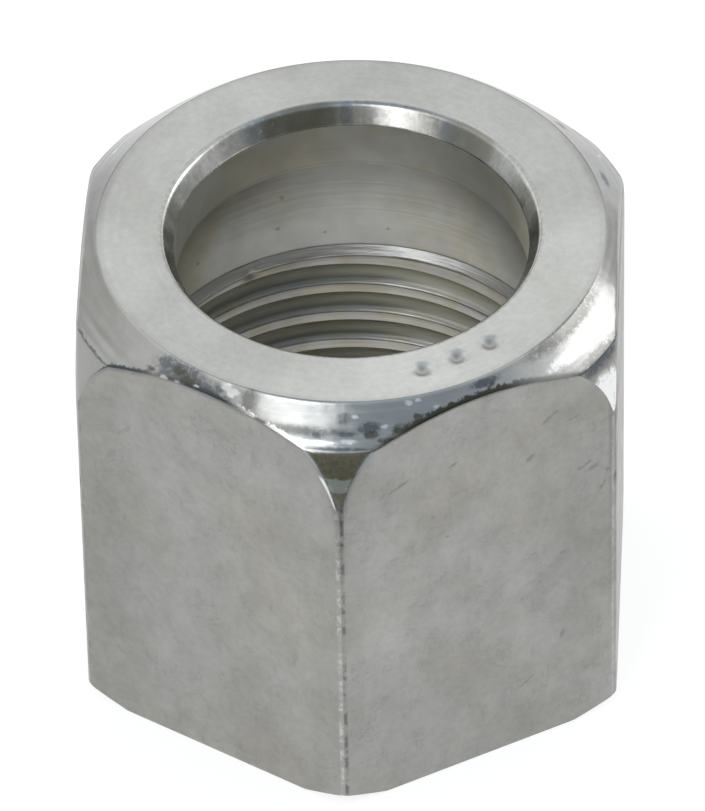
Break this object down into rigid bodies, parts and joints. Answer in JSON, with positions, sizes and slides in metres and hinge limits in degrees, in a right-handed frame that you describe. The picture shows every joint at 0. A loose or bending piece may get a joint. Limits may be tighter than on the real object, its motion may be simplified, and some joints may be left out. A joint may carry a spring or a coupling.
{
  "type": "swivel nut",
  "caption": "Hexagonal tube-fitting swivel nut: an internally threaded mouth below, a relief, and an inward shoulder with a countersunk bore at the top.",
  "frame": {"origin": "centre of the flat mouth face the nut stands on, on the thread axis", "axes": "+Z along the axis, up from the threaded mouth towards the shoulder end; two corners of the hexagon lie on the Y axis and two flats face +X and -X"},
  "size_m": [0.022, 0.0252, 0.0207],
  "materials": {
    "plated_steel": "bright zinc plating, satin on the flats and turned faces, glossier on the chamfers"
  },
  "bodies": {
    "root": {"swivel_nut": "plated_steel"}
  },
  "joints": []
}
